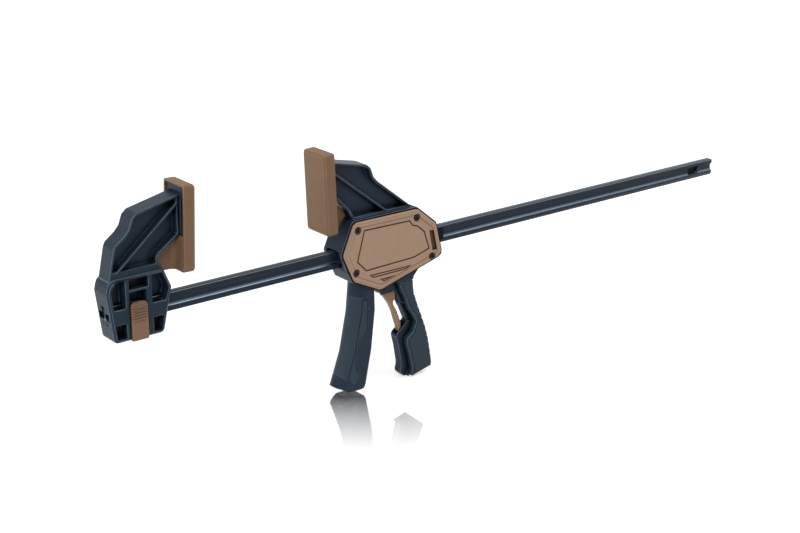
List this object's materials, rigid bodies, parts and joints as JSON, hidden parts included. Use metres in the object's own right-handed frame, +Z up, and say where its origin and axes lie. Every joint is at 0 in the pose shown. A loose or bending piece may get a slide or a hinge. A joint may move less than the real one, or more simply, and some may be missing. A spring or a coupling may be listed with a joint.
{
  "type": "quick release bar clamp",
  "caption": "Pistol-grip bar clamp with moulded jaws, soft pads, a squeeze lever and a release trigger on a steel I-section bar.",
  "frame": {"origin": "on the bar's centreline, in line with the foot of the fixed pad's clamping face", "axes": "+X along the bar towards its free end, +Y away from the cover side, +Z up towards the jaws"},
  "size_m": [0.8619, 0.0386, 0.2775],
  "materials": {
    "blue_grey_plastic": "fine spark texture, satin",
    "blue_grey_rubber": "matt",
    "tan_plastic": "matt",
    "tan_rubber": "matt",
    "dark_steel": "dark blue-grey powder coat",
    "bright_steel": "zinc plated",
    "black_steel": "black oxide"
  },
  "bodies": {
    "root": {"bar": "dark_steel", "bar_stop_pin": "bright_steel", "fixed_jaw": "blue_grey_plastic", "fixed_jaw_pad": "tan_rubber", "button_spring": "bright_steel"},
    "button": {"jaw_button": "tan_plastic"},
    "head": {"jaw_housing": "blue_grey_plastic", "housing_cover": "tan_plastic", "cover_screws": "black_steel", "moving_jaw_pad": "tan_rubber", "front_bar_guide": "blue_grey_plastic", "rear_bar_guide": "blue_grey_plastic", "grip_cover": "blue_grey_rubber", "lever_pin": "bright_steel", "trigger_pin": "bright_steel", "drive_spring": "bright_steel", "brake_spring": "bright_steel"},
    "lever": {"squeeze_lever": "blue_grey_plastic", "lever_cover": "blue_grey_rubber"},
    "drive": {"drive_plates": "bright_steel"},
    "brake": {"brake_plate": "bright_steel"},
    "trigger": {"release_trigger": "tan_plastic"}
  },
  "joints": [
    {"name": "jaw_slide", "type": "slide", "parent": "root", "child": "head", "axis": [1, 0, 0], "range_m": [-0.1502, 0.412]},
    {"name": "lever_hinge", "type": "hinge", "parent": "head", "child": "lever", "pos_m": [0.21, 0, 0.027], "axis": [0, -1, 0], "range_deg": [0, 16], "stiffness_Nm_per_rad": 2, "springref_deg": -8.59},
    {"name": "drive_plates_slide", "type": "slide", "parent": "head", "child": "drive", "axis": [1, 0, 0], "range_m": [0, 0.0034], "deforming": ["drive_spring"]},
    {"name": "trigger_hinge", "type": "hinge", "parent": "head", "child": "trigger", "pos_m": [0.256, 0, -0.0182], "axis": [0, -1, 0], "range_deg": [0, 5], "stiffness_Nm_per_rad": 0.5, "springref_deg": -8.59},
    {"name": "brake_hinge", "type": "hinge", "parent": "head", "child": "brake", "pos_m": [0.2638, 0, 0.0195], "axis": [0, -1, 0], "range_deg": [0, 1.51], "deforming": ["brake_spring"]},
    {"name": "button_slide", "type": "slide", "parent": "root", "child": "button", "axis": [0, 1, 0], "range_m": [0, 0.005], "stiffness_N_per_m": 500, "springref_m": -0.003, "deforming": ["button_spring"]}
  ],
  "couplings": [
    {"joint": "drive_plates_slide", "follows": "lever_hinge", "m_per_rad": 0.01142},
    {"joint": "brake_hinge", "follows": "trigger_hinge", "ratio": 0.301}
  ]
}
